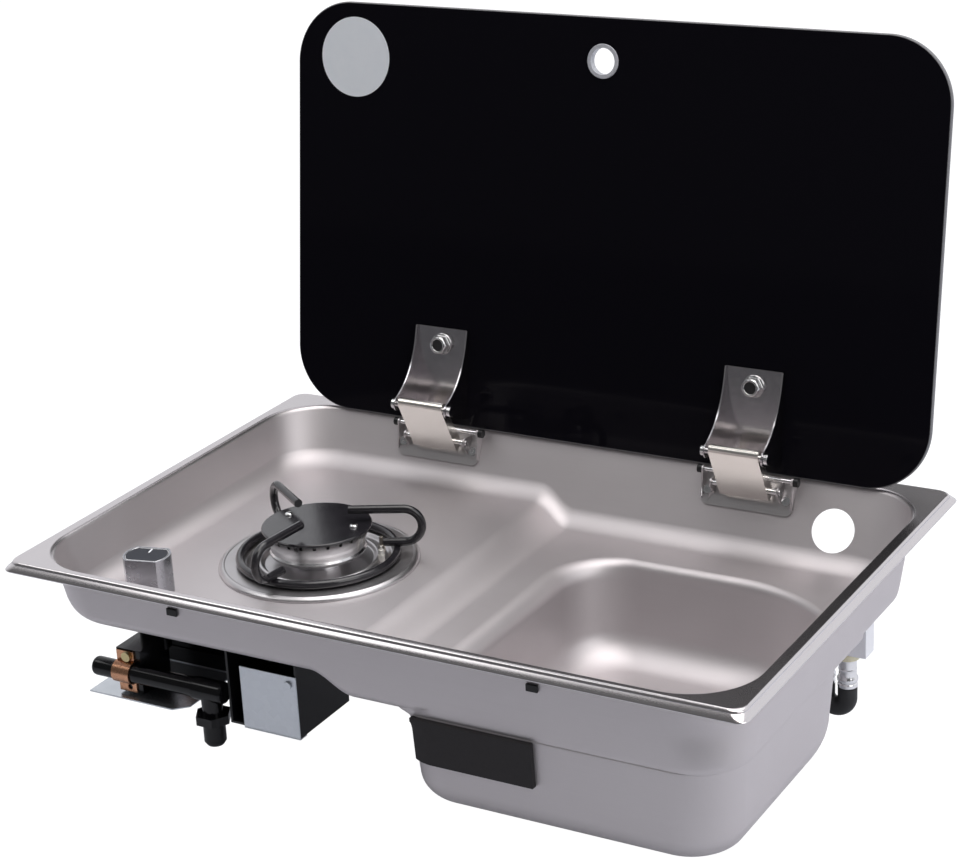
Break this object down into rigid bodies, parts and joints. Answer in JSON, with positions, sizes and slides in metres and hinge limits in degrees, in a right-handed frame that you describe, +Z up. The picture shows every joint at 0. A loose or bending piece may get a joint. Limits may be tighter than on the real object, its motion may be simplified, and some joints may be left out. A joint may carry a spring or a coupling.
{
  "type": "stove and sink combo",
  "caption": "Built-in pressed steel tray with a gas burner on the left, a sink bowl on the right, a tap hole and a dark glass lid on folding hinges.",
  "frame": {"origin": "middle of the worktop cut-out, on the worktop's surface under the lip", "axes": "+X to the right seen from the front, +Y to the back, +Z up; the lid is open at rest"},
  "size_m": [0.608, 0.4337, 0.5171],
  "materials": {
    "pressed_steel": "satin",
    "polished_steel": "polished",
    "foam": "matte",
    "black_rubber": "matte",
    "cast_alloy": "satin",
    "black_enamel": "gloss",
    "ceramic_white": "gloss",
    "sensor_metal": "satin",
    "brass": "satin",
    "copper": "satin",
    "knob_metal": "satin",
    "knob_dark": "satin",
    "black_gloss": "gloss",
    "galvanised": "satin",
    "black_plastic": "matte",
    "tinted_glass": "gloss",
    "grommet_grey": "gloss",
    "sticker_white": "gloss",
    "hinge_steel": "satin",
    "white_plastic": "satin",
    "yellowed_plastic": "satin"
  },
  "bodies": {
    "chassis": {"tray": "pressed_steel", "sink_bowl": "pressed_steel", "sound_pad": "foam", "front_plugs": "black_rubber", "drip_ring": "hinge_steel", "burner_base": "cast_alloy", "burner_head": "cast_alloy", "burner_cap": "black_enamel", "cap_screws": "polished_steel", "spark_electrode": "ceramic_white", "flame_sensor": "sensor_metal", "mixing_tube": "cast_alloy", "injector": "brass", "feed_tube": "copper", "valve_body": "black_gloss", "gas_rail": "black_gloss", "rail_end_plug": "black_gloss", "rail_clamp": "copper", "clamp_screw": "brass", "inlet_elbow": "black_gloss", "shelf_back_plate": "black_gloss", "rail_shelf": "galvanised", "ignition_box": "black_plastic", "box_cover": "galvanised", "cover_screw": "galvanised", "left_hinge_base": "hinge_steel", "right_hinge_base": "hinge_steel", "hinge_pins": "polished_steel", "stop_pins": "polished_steel", "pin_caps": "black_plastic", "base_screws": "polished_steel", "base_nuts": "galvanised", "hose_block": "white_plastic", "hose_ring": "yellowed_plastic", "hose_ferrules": "polished_steel", "loop_hose": "black_rubber", "waste_strainer": "polished_steel", "waste_gasket": "black_rubber", "waste_body": "white_plastic", "waste_screw": "polished_steel"},
    "lid": {"lid_glass": "tinted_glass", "lid_grommet": "grommet_grey", "round_sticker": "sticker_white", "lid_gaskets": "black_rubber", "left_bracket": "hinge_steel", "right_bracket": "hinge_steel", "glass_bolts": "polished_steel", "glass_nuts": "polished_steel", "left_flap": "hinge_steel", "right_flap": "hinge_steel", "bracket_bolts": "polished_steel"},
    "valve_push": {"valve_plunger": "brass"},
    "knob_turning": {"valve_spindle": "polished_steel", "knob": "knob_metal", "knob_inlay": "knob_dark"},
    "pan_support": {"pan_support": "black_enamel"}
  },
  "joints": [
    {"name": "lid_hinge", "type": "hinge", "parent": "chassis", "child": "lid", "pos_m": [0, 0.1665, -0.0015], "axis": [1, 0, 0], "range_deg": [0, 97.85]},
    {"name": "knob_push", "type": "slide", "parent": "chassis", "child": "valve_push", "axis": [0, 0, -1], "range_m": [0, 0.003], "stiffness_N_per_m": 600, "springref_m": -0.001},
    {"name": "knob_turn", "type": "hinge", "parent": "valve_push", "child": "knob_turning", "pos_m": [-0.224, -0.128, 0], "axis": [0, 0, 1], "range_deg": [0, 240]},
    {"name": "pan_support_lift", "type": "slide", "parent": "chassis", "child": "pan_support", "axis": [0, 0, 1], "range_m": [0, 0.1]}
  ]
}
